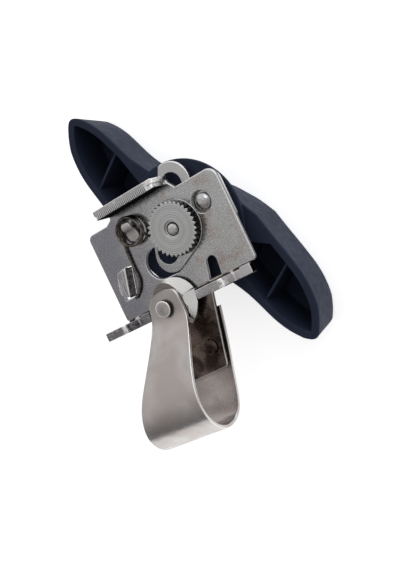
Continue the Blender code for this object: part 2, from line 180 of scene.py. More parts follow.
def inset(points, distance):
    """An anticlockwise outline moved inwards, with mitred corners; distance may be one value per point."""
    moved = []
    count = len(points)
    for i, point in enumerate(points):
        before = (Vector(point) - Vector(points[i - 1])).normalized()
        after = (Vector(points[(i + 1) % count]) - Vector(point)).normalized()
        side = Vector((-before.y, before.x)) if before.length else Vector((-after.y, after.x))
        normal = (side + Vector((-after.y, after.x))).normalized()
        lean = max(0.6, normal.dot(side))
        step = distance[i] if isinstance(distance, list) else distance
        moved.append(tuple(Vector(point) + normal * (step / lean)))
    return moved


def safe_inset(points, distance):
    """An inset in which points that cross over at a tight curve gather on their nearest sound neighbour."""
    moved = inset(points, distance)
    sound = []
    for place in moved:
        nearest = min(math.hypot(place[0] - x, place[1] - y) for x, y in points)
        sound.append(nearest >= 0.97 * distance)
    count = len(points)
    result = []
    for i in range(count):
        shift = next(k for j in range(count) for k in (j, -j) if sound[(i + k) % count])
        result.append(moved[(i + shift) % count])
    return result


def shrink(points, step):
    """An outline drawn in evenly towards its middle, by step on average."""
    middle = sum((Vector(point) for point in points), Vector((0, 0))) / len(points)
    size = sum((Vector(point) - middle).length for point in points) / len(points)
    return [tuple(middle + (Vector(point) - middle) * (1 - step / size)) for point in points]


def smooth_through(stations, steps):
    """Catmull-Rom points through stations of any dimension, ends kept."""
    padded = [stations[0], *stations, stations[-1]]
    result = []
    for i in range(len(stations) - 1):
        a, b, c, d = (Vector(p) for p in padded[i : i + 4])
        for k in range(steps):
            t = k / steps
            square, cube = 2 * a - 5 * b + 4 * c - d, 3 * b - a - 3 * c + d
            result.append(0.5 * (2 * b + (c - a) * t + square * t**2 + cube * t**3))
    result.append(Vector(stations[-1]))
    return result


# ---------------------------------------------------------------- mesh building


def new_mesh():
    """A bmesh whose points carry "edge", 1 on rolled edges, which take a painted highlight, and "cut", 1 on
    sheared sides.
    """
    bm = bmesh.new()
    bm.verts.layers.float.new("edge")
    bm.verts.layers.float.new("cut")
    return bm


def add_loop(bm, points, edge=0.0, cut=0.0):
    edge_layer = bm.verts.layers.float["edge"]
    cut_layer = bm.verts.layers.float["cut"]
    loop = []
    for point in points:
        vert = bm.verts.new(point)
        vert[edge_layer] = edge
        vert[cut_layer] = cut
        loop.append(vert)
    return loop


def skin(bm, loops):
    """Quads between closed loops of equal length."""
    for low, high in zip(loops, loops[1:]):
        for i in range(len(low)):
            bm.faces.new((low[i - 1], low[i], high[i], high[i - 1]))


def fill(bm, loops):
    """A flat face inside the first loop, with the others as holes."""
    edges = []
    for loop in loops:
        for i, vert in enumerate(loop):
            pair = (loop[i - 1], vert)
            edges.append(bm.edges.get(pair) or bm.edges.new(pair))
    bmesh.ops.triangle_fill(bm, edges=edges, use_beauty=True)


def quarter_turn(steps=4):
    """(1 - sine, 1 - cosine, sine of twice the angle) at even steps round a rolled edge."""
    angles = [math.pi / 2 * i / steps for i in range(steps + 1)]
    return [(1 - math.sin(angle), 1 - math.cos(angle), math.sin(2 * angle)) for angle in angles]


def roll(heights, rounding):
    """(inset, height, edge, cut) levels from the back face round both edges to the front face."""
    back, front = heights
    back_round, front_round = rounding if isinstance(rounding, tuple) else (rounding, rounding)
    turn = quarter_turn()
    levels = [(back_round * a, back + back_round * b, edge, 0.0) for a, b, edge in turn]
    levels += [(front_round * b, front - front_round * a, edge, 0.0) for a, b, edge in turn]
    for i in (len(turn) - 1, len(turn)):
        levels[i] = (*levels[i][:3], 1.0)
    return levels


def flat_loop(bm, outline, height, edge=0.0, cut=0.0):
    """A loop of points from an (x, y) outline at one height."""
    return add_loop(bm, [(x, y, height) for x, y in outline], edge, cut)


def sheet(bm, outline, holes, heights, rounding):
    """A flat sheet with holes whose edges are rolled."""
    levels = roll(heights, rounding)
    backs, fronts = [], []
    for points, inwards, cut_shine in [(outline, 1, 0.0)] + [(hole, -1, HOLE_SHINE) for hole in holes]:
        points = anticlockwise(points)
        loops = [
            flat_loop(bm, inset(points, inwards * step), height, max(edge, cut * cut_shine), cut)
            for step, height, edge, cut in levels
        ]
        skin(bm, loops)
        backs.append(loops[0])
        fronts.append(loops[-1])
    fill(bm, backs)
    fill(bm, fronts)
    return bm


def prism_along_y(bm, profile, low, high, rounding):
    """A rolled sheet whose outline lies in (x, z) and whose thickness runs along Y."""
    start = len(bm.verts)
    sheet(bm, profile, [], (low, high), rounding)
    bm.verts.ensure_lookup_table()
    for vert in bm.verts[start:]:
        vert.co = Vector((vert.co.x, vert.co.z, vert.co.y))
    return bm


def turned(bm, centre, profile, steps=72, closed=False):
    """A profile of (radius, height, fillet) corners turned about Z at centre."""
    loops = []
    for radius, height in rounded(profile, steps=5, closed=closed):
        ring = [(centre[0], centre[1])] if radius < 1e-6 else circle(centre, radius, steps)
        loops.append(flat_loop(bm, ring, height))
    for low, high in zip(loops, loops[1:] + loops[:1] if closed else loops[1:]):
        for i in range(steps):
            j = (i + 1) % steps
            corners = []
            for vert in (low[i % len(low)], low[j % len(low)], high[j % len(high)], high[i % len(high)]):
                if vert not in corners:
                    corners.append(vert)
            bm.faces.new(corners)
    return bm


def strip(bm, stations, thickness, fillet=0.3, across=12):
    """Sheet bent along a path, whose stations are (low x, high x, y, z) of the sheet's middle."""
    half = thickness / 2
    loops = []
    layer = bm.verts.layers.float["edge"]
    corner = [(math.sin(math.pi / 8 * k), math.cos(math.pi / 8 * k)) for k in range(5)]
    for i, (low, high, y, z) in enumerate(stations):
        ahead = stations[min(i + 1, len(stations) - 1)]
        behind = stations[max(i - 1, 0)]
        run = Vector((0, ahead[2] - behind[2], ahead[3] - behind[3])).normalized()
        up = Vector((0, run.z, -run.y))
        span = [low + fillet + (high - low - 2 * fillet) * k / across for k in range(across + 1)]
        side = [(high - fillet + fillet * s, half - fillet + fillet * c, s * c * 2) for s, c in corner[1:]]
        side += [(x, -u, e) for x, u, e in side[::-1]]
        left = [(low + high - x, u, e) for x, u, e in side[::-1]]
        front, back = ([(x, height, 0.0) for x in xs] for xs, height in ((span, half), (span[::-1], -half)))
        ring = front + side[:-1] + back + left[:-1]
        loop = []
        for x, u, edge in ring:
            vert = bm.verts.new(Vector((x, y, z)) + up * u)
            vert[layer] = edge
            loop.append(vert)
        loops.append(loop)
    skin(bm, loops)
    bm.faces.new(loops[0])
    bm.faces.new(loops[-1][::-1])
    return bm


def piece(name, bm, material, slot, body, *nodes):
    """Places a bmesh in the frame as a finished piece that rides on a body and stands for CAD nodes."""
    bmesh.ops.remove_doubles(bm, verts=bm.verts, dist=1e-5)
    bmesh.ops.recalc_face_normals(bm, faces=bm.faces)
    bm.transform(Matrix.Translation(ORIGIN) @ Matrix.Scale(MM, 4))
    mesh = bpy.data.meshes.new(name)
    bm.to_mesh(mesh)
    bm.free()
    mesh.shade_smooth()
    mesh.set_sharp_from_angle(angle=math.radians(38))
    mesh.materials.append(material)
    made = bpy.data.objects.new(name, mesh)
    bpy.context.collection.objects.link(made)
    weighted = made.modifiers.new("face weighted shading", "WEIGHTED_NORMAL")
    weighted.keep_sharp = True
    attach(made, body)
    if nodes:
        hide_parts(*nodes)
    return made


# ---------------------------------------------------------------- materials


class Surface:
    """A Principled material and short calls for the nodes behind it. Lengths are in millimetres."""

    def __init__(self, name, roughness, metallic, specular=0.5):
        self.material = bpy.data.materials.new(name)
        self.material.use_nodes = True
        self.tree = self.material.node_tree
        self.shader = self.tree.nodes["Principled BSDF"]
        self.shader.inputs["Metallic"].default_value = metallic
        self.shader.inputs["Roughness"].default_value = roughness
        self.shader.inputs["Specular IOR Level"].default_value = specular
        coordinates = self.tree.nodes.new("ShaderNodeTexCoord")
        place = self.add("ShaderNodeMapping", Vector=coordinates.outputs["Object"])
        place.inputs["Scale"].default_value = (1 / MM,) * 3
        place.inputs["Location"].default_value = -ORIGIN / MM
        self.place = place.outputs["Vector"]

    def add(self, kind, settings=None, **inputs):
        made = self.tree.nodes.new(kind)
        for key, value in (settings or {}).items():
            setattr(made, key, value)
        for key, value in inputs.items():
            self.feed(made.inputs[key.replace("_", " ")], value)
        return made

    def feed(self, socket, value):
        if isinstance(value, bpy.types.NodeSocket):
            self.tree.links.new(value, socket)
        else:
            socket.default_value = value

    def noise(self, size, detail=3.0, stretch=(1, 1, 1), distortion=0.0):
        """Noise whose features are about size across."""
        where = self.add("ShaderNodeMapping", Vector=self.place)
        where.inputs["Scale"].default_value = stretch
        made = self.add("ShaderNodeTexNoise", Vector=where.outputs["Vector"], Scale=1 / size, Detail=detail)
        made.inputs["Distortion"].default_value = distortion
        return made.outputs["Fac"]

    def math(self, operation, a, b=0.0):
        made = self.tree.nodes.new("ShaderNodeMath")
        made.operation = operation
        self.feed(made.inputs[0], a)
        self.feed(made.inputs[1], b)
        return made.outputs[0]

    def times(self, a, b):
        return self.math("MULTIPLY", a, b)

    def larger(self, a, b):
        return self.math("MAXIMUM", a, b)

    def clouds(self, noise, *limits):
        """Noise, given by its arguments, spread between limits."""
        return self.spread(self.noise(*noise), *limits)

    def painted_edge_highlight(self, base, share, colour):
        """The base with a painted highlight on its rolled and rounded edges, mixed towards a colour."""
        return self.mix(self.times(self.edge(), share), base, colour)

    def dull(self, share, metallic, specular):
        """Metal whose metallic and specular values fall to these where share is 1."""
        self.feed(self.shader.inputs["Metallic"], self.spread(share, 0, 1, 1.0, metallic))
        self.feed(self.shader.inputs["Specular IOR Level"], self.spread(share, 0, 1, 0.5, specular))

    def spread(self, value, low, high, to_low=0.0, to_high=1.0):
        made = self.add("ShaderNodeMapRange", Value=value)
        made.inputs["From Min"].default_value = low
        made.inputs["From Max"].default_value = high
        made.inputs["To Min"].default_value = to_low
        made.inputs["To Max"].default_value = to_high
        return made.outputs["Result"]

    def mix(self, share, a, b):
        made = self.tree.nodes.new("ShaderNodeMix")
        made.data_type = "RGBA"
        self.feed(made.inputs["Factor"], share)
        self.feed(made.inputs["A"], (*a, 1.0) if isinstance(a, tuple) else a)
        self.feed(made.inputs["B"], (*b, 1.0) if isinstance(b, tuple) else b)
        return made.outputs["Result"]

    def edge(self):
        made = self.tree.nodes.new("ShaderNodeAttribute")
        made.attribute_name = "edge"
        return made.outputs["Fac"]

    def cut(self):
        made = self.tree.nodes.new("ShaderNodeAttribute")
        made.attribute_name = "cut"
        return made.outputs["Fac"]

    def shear(self, base, rough, grey):
        """Duller, rougher metal on the sheared sides."""
        self.feed(self.shader.inputs["Metallic"], self.spread(self.cut(), 0.2, 0.8, 1.0, 0.35))
        self.roughness(self.larger(rough, self.times(self.cut(), 0.5)))
        shiny = self.edge()
        share = self.times(self.cut(), self.spread(shiny, 0.0, 0.8, 1.0, 0.0))
        return self.mix(share, base, grey)

    def coordinate(self, letter):
        return self.add("ShaderNodeSeparateXYZ", Vector=self.place).outputs[letter]

    def radius(self, centre):
        """Distance from an axis along Z through centre."""
        flat = self.add("ShaderNodeVectorMath", {"operation": "MULTIPLY"})
        shifted = self.add("ShaderNodeVectorMath", {"operation": "SUBTRACT"})
        self.feed(shifted.inputs[0], self.place)
        shifted.inputs[1].default_value = (*centre, 0)
        self.feed(flat.inputs[0], shifted.outputs[0])
        flat.inputs[1].default_value = (1, 1, 0)
        length = self.add("ShaderNodeVectorMath", {"operation": "LENGTH"})
        self.feed(length.inputs[0], flat.outputs[0])
        return length.outputs["Value"]

    def bump(self, *layers):
        """Bump from (height, depth in millimetres) layers."""
        normal = None
        for height, depth in layers:
            made = self.add("ShaderNodeBump", Height=height, Strength=1.0, Distance=depth * MM)
            if normal:
                self.feed(made.inputs["Normal"], normal)
            normal = made.outputs["Normal"]
        self.feed(self.shader.inputs["Normal"], normal)

    def colour(self, value):
        self.feed(self.shader.inputs["Base Color"], value)

    def vary_roughness(self, size, detail, low, high):
        self.roughness(self.clouds((size, detail), 0.3, 0.7, low, high))

    def roughness(self, value):
        self.feed(self.shader.inputs["Roughness"], value)


def plated_steel():
    """Satin zinc plate: cool on the plate's left, warmer and speckled on its right."""
    look = Surface("plated_steel", 0.3, 1.0)
    along = look.spread(look.coordinate("X"), -24, 2)
    patchy = look.math("ADD", along, look.clouds((9, 2), 0.3, 0.7, -0.25, 0.25))
    base = look.mix(patchy, (0.29, 0.29, 0.325), (0.525, 0.525, 0.52))
    green = look.clouds((7, 2, (1.3, 1, 1)), 0.5, 0.62, 0.0, 0.6)
    base = look.mix(look.times(green, along), base, (0.47, 0.50, 0.45))
    warm = look.clouds((7, 3, (1, 1.2, 1)), 0.5, 0.64, 0.0, 0.8)
    base = look.mix(look.times(warm, along), base, (0.43, 0.355, 0.32))
    # Painted sheen: lighter and more silvery towards the plate's right edge
    right_edge_sheen = look.spread(look.coordinate("X"), 12, 20, 0.0, 0.45)
    base = look.mix(right_edge_sheen, base, (0.62, 0.63, 0.64))
    base = look.mix(look.clouds((0.45, 2), 0.45, 0.3, 0.0, 0.55), base, (0.30, 0.29, 0.29))
    speckle = look.times(look.clouds((0.38, 2), 0.54, 0.68), look.spread(along, 0, 1, 0.35, 0.85))
    base = look.mix(speckle, base, (0.90, 0.90, 0.90))
    base = look.painted_edge_highlight(base, 0.6, (0.90, 0.90, 0.90))
    rough = look.clouds((1.4, 4), 0.3, 0.7, 0.18, 0.3)
    look.colour(look.shear(base, rough, (0.24, 0.235, 0.235)))
    look.bump((look.noise(0.45, 2), 0.003), (look.noise(6, 1), 0.02))
    return look.material


def flange_steel():
    """The bent flanges: cooler and scuffed on their fronts, with painted shade on their undersides."""
    look = Surface("flange_steel", 0.3, 1.0)
    x, y, z = (look.coordinate(letter) for letter in "XYZ")
    on_grip = look.spread(y, 12.5, 12.6)
    on_guides = look.spread(y, 1, 0)
    base = look.mix(look.clouds((2.2, 3), 0.35, 0.65), (0.34, 0.325, 0.33), (0.50, 0.485, 0.49))
    base = look.mix(look.spread(y, 0, 1, 0.0, 0.5), base, (0.62, 0.61, 0.62))
    base = look.mix(look.times(look.spread(x, -20, -21), on_guides), base, (0.25, 0.245, 0.26))
    base = look.mix(look.spread(x, 9.5, 11.5), base, (0.66, 0.64, 0.65))
    scuffs = look.clouds((0.7, 3, (0.5, 1, 1)), 0.56, 0.7, 0.0, 0.55)
    base = look.mix(scuffs, base, (0.85, 0.85, 0.86))
    base = look.painted_edge_highlight(base, 0.55, (0.90, 0.88, 0.87))

    # Painted shade along the gap between the plate's bottom edge and the guides
    gap = look.times(look.spread(y, -20.3, -20.05), look.spread(y, 0, -1))
    base = look.mix(look.times(gap, look.spread(z, 0.6, 0.2)), base, (0.085, 0.055, 0.045))

    # Painted highlights on the crests and painted shade in the roots of the serrations
    pitch = (SERRATED[1] - SERRATED[0]) / SERRATIONS
    phase = look.math("ADD", x, -SERRATED[1] + 0.15 * pitch)
    crests = look.math("COSINE", look.times(phase, 2 * math.pi / pitch))
    toothed = look.times(look.spread(y, 14.6, 14.4), on_grip)
    toothed = look.times(toothed, look.spread(x, 0.5, 0.2))
    base = look.mix(look.times(toothed, look.spread(crests, -0.4, 0.7)), base, (0.86, 0.86, 0.87))
    base = look.mix(look.times(toothed, look.spread(crests, -0.3, -0.9)), base, (0.15, 0.145, 0.15))

    # Painted highlights where a flange steps or bends, broken up by noise
    grip_bend = look.times(look.spread(x, -0.2, 0.6), on_grip)
    right_bend = look.times(look.spread(x, 8.6, 9.2), look.spread(x, 11.0, 10.2))
    left_bend = look.times(look.spread(x, -30.0, -29.3), look.spread(x, -27.4, -28.0))
    guide_bend = look.times(look.larger(right_bend, left_bend), on_guides)
    bend = look.times(look.larger(grip_bend, guide_bend), look.clouds((1.1, 2), 0.38, 0.5))
    base = look.mix(bend, base, (0.97, 0.96, 0.95))

    # Painted shade on the undersides of the grip flange and the guides, made black and dull
    grip_under = look.times(look.spread(y, 13.35, 13.2), on_grip)
    under = look.larger(grip_under, look.spread(y, -22.25, -22.4))
    under = look.times(under, look.spread(z, 7.35, 7.1))
    look.colour(look.mix(under, base, (0.018, 0.017, 0.018)))
    look.dull(under, 0.0, 0.0)
    look.vary_roughness(0.8, 3, 0.2, 0.4)
    look.bump((look.noise(0.5, 2, (1, 1, 0.2)), 0.005))
    return look.material


def tab_steel():
    """The lanced tab: streaked face, a painted highlight on its ridge and painted shade on its duller
    sheared side.
    """
    look = Surface("tab_steel", 0.3, 1.0)
    slant = look.times(look.coordinate("Y"), -TAB_SLANT)
    along = look.math("ADD", look.math("ADD", look.coordinate("X"), slant), TAB_SLANT * TAB_TOP)
    streaks = look.clouds((0.9, 3, (1, 0.25, 1)), 0.35, 0.65)
    base = look.mix(streaks, (0.36, 0.35, 0.36), (0.62, 0.61, 0.62))
    # Painted highlight along the ridge
    base = look.mix(look.spread(along, -23.7, -23.4), base, (1.0, 1.0, 1.0))
    base = look.painted_edge_highlight(base, 0.6, (0.9, 0.9, 0.9))
    # Painted shade on the sheared side
    side = look.spread(look.cut(), 0.6, 0.9)
    shade = look.mix(look.clouds((0.8, 2), 0.4, 0.6), (0.05, 0.045, 0.045), (0.22, 0.21, 0.21))
    look.colour(look.mix(side, base, shade))
    look.dull(side, 0.2, 0.1)
    look.roughness(look.spread(side, 0, 1, 0.24, 0.6))
    look.bump((look.noise(0.6, 2), 0.01))
    return look.material


def nickel_plate():
    """Smooth bright nickel with soft clouds of warmer and greyer plating."""
    look = Surface("nickel_plate", 0.18, 1.0)
    tones = look.clouds((14, 2, (1, 1, 1), 0.6), 0.38, 0.62)
    base = look.mix(tones, (0.47, 0.42, 0.40), (0.58, 0.56, 0.545))
    height = look.coordinate("Z")
    # Painted shade on the strap's back leg beside the lever's edge
    shaded = look.times(look.spread(height, -3.3, -3.42), look.spread(height, -3.65, -3.55))
    shaded = look.times(shaded, look.spread(look.coordinate("Y"), -46.5, -43.5))
    base = look.mix(shaded, base, (0.035, 0.032, 0.03))
    specks = look.clouds((0.5, 2), 0.68, 0.78, 0.0, 0.25)
    base = look.mix(specks, base, (0.36, 0.33, 0.32))
    base = look.painted_edge_highlight(base, 0.7, (0.92, 0.91, 0.90))
    look.colour(base)
    look.vary_roughness(3, 4, 0.22, 0.32)
    look.bump((look.noise(9, 1), 0.025), (look.noise(0.6, 3), 0.003))
    return look.material


def rivet_steel():
    """The flat rivet head: a painted highlight on its rim and a painted contact shadow round its edge."""
    look = Surface("rivet_steel", 0.22, 1.0)
    reach = look.radius(KNIFE_RIVET)
    base = look.mix(look.clouds((3, 2), 0.4, 0.6), (0.42, 0.38, 0.36), (0.56, 0.54, 0.53))
    # Painted highlight on the rim
    rim = look.times(look.spread(reach, 2.2, 2.35), look.spread(reach, 2.68, 2.6))
    base = look.mix(rim, base, (0.95, 0.94, 0.93))
    # Painted contact shadow round the head's edge
    look.colour(look.mix(look.spread(reach, 2.66, 2.72), base, (0.04, 0.036, 0.034)))
    look.vary_roughness(2, 3, 0.2, 0.32)
    look.bump((look.noise(2.5, 1), 0.03))
    return look.material


def lever_steel():
    """The lever behind the strap: the same plate, browner and darker lower down, painted shade and dark
    reflection inside the strap.
    """
    look = Surface("lever_steel", 0.24, 1.0)
    up = look.spread(look.coordinate("Y"), -9, 6)
    tones = look.clouds((7, 2, (1, 1, 1), 0.8), 0.4, 0.6)
    base = look.mix(tones, (0.055, 0.04, 0.034), (0.20, 0.16, 0.14))
    base = look.mix(up, base, (0.60, 0.60, 0.595))
    base = look.painted_edge_highlight(base, 0.75, (0.92, 0.91, 0.90))
    look.colour(base)
    look.vary_roughness(1.6, 4, 0.18, 0.34)
    look.bump((look.noise(0.5, 2), 0.003), (look.noise(6, 1), 0.03))
    return look.material


def blade_steel():
    """Ground blade: curved grinding marks round the rivet, paler towards the cutting side."""
    look = Surface("blade_steel", 0.26, 1.0)
    x = look.coordinate("X")
    # The flat face's dark brown is painted shade and dark reflection; the ground edge and cutting side are
    # painted pale
    ground = look.times(look.spread(look.cut(), 0.3, 0.7), look.spread(x, -13, -10.5))
    across = look.larger(ground, look.spread(x, -9.0, -7.0))
    base = look.mix(across, (0.20, 0.175, 0.16), (1.0, 1.0, 0.98))
    rings = look.radius((-14.5, -20.9))
    marks = look.math("SINE", look.times(look.math("ADD", rings, look.noise(1.6, 2)), 9.0))
    base = look.mix(look.spread(marks, -1, 1, 0.0, 0.28), base, (0.55, 0.55, 0.53))
    look.colour(base)
    look.vary_roughness(1.5, 3, 0.22, 0.36)
    look.bump((marks, 0.012), (look.noise(0.4, 3), 0.006))
    return look.material


def wheel_steel():
    """Turned steel: concentric tool marks and a greenish passivated tone."""
    look = Surface("wheel_steel", 0.34, 1.0)
    rings = look.radius(WHEEL_AXIS)
    wander = look.math("ADD", look.times(rings, 9.5), look.times(look.noise(2.5, 2), 3.0))
    marks = look.math("SINE", wander)
    broad = look.math("SINE", look.times(rings, 2.6))
    base = look.mix(look.spread(broad, -1, 1), (0.465, 0.475, 0.47), (0.55, 0.56, 0.555))
    base = look.mix(look.spread(marks, -1, 1, 0.0, 0.5), base, (0.66, 0.67, 0.65))
    base = look.mix(look.clouds((0.5, 3), 0.6, 0.75, 0, 0.3), base, (0.78, 0.78, 0.76))
    base = look.painted_edge_highlight(base, 0.3, (0.85, 0.86, 0.84))
    x, y, z = (look.coordinate(letter) for letter in "XYZ")
    # Painted shade on the tooth flanks, strongest towards the lower right
    shaded_flanks = look.times(look.spread(rings, 7.3, 7.7), look.spread(z, 3.42, 3.3))
    lower_right = look.spread(look.math("SUBTRACT", x, y), -6, 3, 0.25, 1.0)
    base = look.mix(look.times(shaded_flanks, lower_right), base, (0.06, 0.06, 0.058))
    look.colour(base)
    look.vary_roughness(1, 3, 0.26, 0.38)
    look.bump((marks, 0.02), (look.noise(0.4, 3), 0.008))
    return look.material


def shaft_steel():
    """Bright end of the shaft, dented by the setting tool."""
    look = Surface("shaft_steel", 0.2, 1.0)
    base = look.mix(look.clouds((0.9, 3), 0.4, 0.65), (0.50, 0.49, 0.48), (0.84, 0.83, 0.80))
    look.colour(base)
    look.vary_roughness(1, 3, 0.16, 0.3)
    look.bump((look.noise(1.1, 2), 0.12))
    return look.material


def spring_steel():
    look = Surface("spring_steel", 0.16, 1.0)
    base = look.mix(look.clouds((1.6, 2), 0.35, 0.65), (0.07, 0.058, 0.05), (0.23, 0.20, 0.18))
    look.colour(base)
    look.vary_roughness(0.7, 2, 0.12, 0.26)
    look.bump((look.noise(0.3, 2, (1, 1, 1)), 0.004))
    return look.material


def navy_plastic():
    """Moulded navy plastic with a fine grain and a painted highlight along its rounded edges."""
    look = Surface("navy_plastic", 0.5, 0.0, 0.12)
    base = look.mix(look.clouds((11, 3), 0.35, 0.65), (0.020, 0.026, 0.048), (0.025, 0.033, 0.060))
    grain = look.clouds((0.5, 2), 0.6, 0.8, 0.0, 0.35)
    base = look.mix(grain, base, (0.036, 0.043, 0.070))
    base = look.painted_edge_highlight(base, 0.45, (0.040, 0.048, 0.078))
    look.colour(base)
    look.vary_roughness(2.5, 3, 0.52, 0.68)
    look.bump((look.noise(0.32, 2), 0.02), (look.noise(8, 1), 0.06))
    return look.material


# ---------------------------------------------------------------- plate


def plate_outline():
    return rounded([
        (-32.7, -19.2, 1.0),
        (19.6, -19.2, 1.5),
        (19.9, 11.2, 3.2),
        (5.2, 11.2, 0.5),
        (3.4, 13.6, 0.3),
        (3.2, 14.6, 0),
        (-21.2, 14.6, 0),
        (-21.6, 12.4, 0.5),
        (-23.9, 11.2, 0.4),
        (-32.5, 11.2, 2.0),
    ])


def make_plate(material):
    window = arc((-11.4, -7.05), 5.15, 90, 270, 32) + arc((-7.0, -7.05), 5.15, -90, 90, 32)
    slot = rounded([(2.1, -18.8, 0.2), (6.7, -18.8, 0.2), (7.6, -12.2, 1.7), (4.0, -12.2, 1.6)])
    lance = [(-26.6, -12.9, 0.8), (-21.7, -12.9, 0.8), (-21.7, -3.4, 0.8), (-26.6, -3.4, 0.8)]
    lance = [(x + TAB_SLANT * (y - TAB_TOP), y) for x, y in rounded(lance)]
    holes = [
        window,
        slot,
        lance,
        circle(WHEEL_AXIS, BUSH_RADIUS + 0.45),
        circle((11.25, 3.3), 3.3),
        circle(SPRING_END, 0.95, 24),
        circle(SPRING_POST, 1.6, 32),
    ]
    piece("plate", sheet(new_mesh(), plate_outline(), holes, PLATE, (0.25, 0.42)), material,
          "plated_steel", "frame", "main_plate")


def make_flanges(material):
    """The two bottom guides and the serrated grip flange, each bent forward from the plate."""
    low, high = -22.5, -19.7
    right = rounded([
        (0.4, FLANGE_BACK, 0.2),
        (17.5, FLANGE_BACK, 0.3),
        (17.5, LIP_FRONT, 0.3),
        (11.1, LIP_FRONT, 0.8),
        (10.2, GUIDE_FRONT - 0.6, 0.8),
        (9.6, GUIDE_FRONT, 0.4),
        (0.4, GUIDE_FRONT, 0.3),
    ])
    left = rounded([
        (-36.8, FLANGE_BACK + 4.5, 0.5),
        (-28.2, FLANGE_BACK, 0.5),
        (-22.4, FLANGE_BACK, 0.3),
        (-22.4, LIP_FRONT, 0.3),
        (-27.4, LIP_FRONT, 0.8),
        (-28.4, GUIDE_FRONT - 0.6, 0.8),
        (-29.0, GUIDE_FRONT, 0.4),
        (-36.8, GUIDE_FRONT, 0.4),
    ])
    blocks = {"guide_right": (13.9, 17.5, (0.6, 17.3)), "guide_left": (-26.0, -22.5, (-32.0, -22.6))}
    for name, outline in (("guide_right", right), ("guide_left", left)):
        bm = prism_along_y(new_mesh(), outline, low, high, 0.3)
        start, end, (root_start, root_end) = blocks[name]
        top = LIP_FRONT + 0.25
        block = [(start, FLANGE_BACK, 0), (end, FLANGE_BACK, 0), (end, top, 0.3), (start, top, 0.3)]
        prism_along_y(bm, rounded(block), low + 0.1, high + 0.45, 0.25)
        # The root fills the gap under the plate's edge; the flange material paints it dark as shade
        root = [(root_start, -1.35), (root_end, -1.35), (root_end, -0.15), (root_start, -0.15)]
        prism_along_y(bm, root, low + 1.0, high + 1.2, 0.1)
        piece(name, bm, material, "plated_steel", "frame")
    bar = rounded([
        (-21.6, FLANGE_BACK, 0.3),
        (3.3, FLANGE_BACK, 0.3),
        (3.3, LIP_FRONT, 0.5),
        (2.9, GRIP_FRONT, 0.7),
        (-21.6, GRIP_FRONT, 1.3),
    ])
    grip = prism_along_y(new_mesh(), bar, 14.3, 16.0, 0.3)
    prism_along_y(grip, serration_outline(), 13.1, 14.7, 0.08)
    piece("grip_flange", grip, material, "plated_steel", "frame")


def serration_outline():
    """Fine teeth along the lower front edge of the grip flange."""
    left, right = SERRATED
    pitch = (right - left) / SERRATIONS
    base, root = GRIP_FRONT - 0.2, GRIP_FRONT - SERRATION_DEPTH
    profile = [(-21.3, -1.2), (2.7, -1.2), (2.7, GRIP_FRONT - 0.9), (2.2, base), (1.0, base)]
    for i in range(SERRATIONS):
        start = right - i * pitch
        profile += [(start, GRIP_FRONT), (start - 0.3 * pitch, GRIP_FRONT), (start - 0.65 * pitch, root)]
    return profile + [(left, base), (-21.3, GRIP_FRONT - 1.0)]


def make_anchor_tab(material):
    """The lanced tab that the spring hooks behind: it rises to a ridge on its right."""
    bm = new_mesh()
    stations = [
        (-8.2, TAB_TOP, -28.5, -0.7),
        (-10.2, TAB_TOP, -27.4, -0.1),
        (-11.4, TAB_TOP, -26.2, 0.42),
        (-12.1, TAB_TOP, -25.0, 0.84),
        (-12.2, TAB_TOP, -23.8, 1.2),
        (-12.0, TAB_TOP, -22.85, 1.42),
    ]
    path = [*smooth_through(stations, 4), Vector((-12.0, TAB_TOP, -22.7, 1.45))]
    strip(bm, path, 1.3, 0.25, 10)
    bm.verts.ensure_lookup_table()
    # The end ring is marked as sheared, so it takes the painted shade of the tab's side
    for vert in bm.verts[-len(bm.verts) // len(path):]:
        vert[bm.verts.layers.float["cut"]] = 1.0
    for vert in bm.verts:
        down, along, height = vert.co
        vert.co = Vector((along + TAB_SLANT * (down - TAB_TOP), down, height))
    turned_down = len(bm.verts)
    wall = rounded([(-23.3, -1.45, 0.1), (-22.6, -1.45, 0.1), (-22.6, 1.85, 0.15), (-23.3, 1.7, 0.1)], 3)
    prism_along_y(bm, wall, -12.75, TAB_TOP - 0.15, 0.2)
    bm.verts.ensure_lookup_table()
    # These points are marked as sheared, so the wall takes painted shade
    for vert in bm.verts[turned_down:]:
        vert.co.x += TAB_SLANT * (vert.co.y - TAB_TOP)
        vert[bm.verts.layers.float["cut"]] = 1.0
    piece("anchor_tab", bm, material, "plated_steel", "frame")


def make_bearing_plate(material):
    lobe, lobe_radius, disc_radius = (-6.3, -6.8), 5.2, 8.9
    reach = math.hypot(*lobe)
    turn = math.degrees(math.atan2(lobe[1], lobe[0]))
    spread = math.degrees(math.acos((disc_radius - lobe_radius) / reach))
    outline = arc(WHEEL_AXIS, disc_radius, turn + spread, turn + 360 - spread, 80)
    outline += arc(lobe, lobe_radius, turn - spread, turn + spread, 40)
    holes = [circle(WHEEL_AXIS, BUSH_RADIUS + 0.4), circle((-6.5, -5.4), 3.75)]
    piece("bearing_plate_rolled", sheet(new_mesh(), outline, holes, BEARING, 0.16), material,
          "plated_steel", "frame", "bearing_plate")


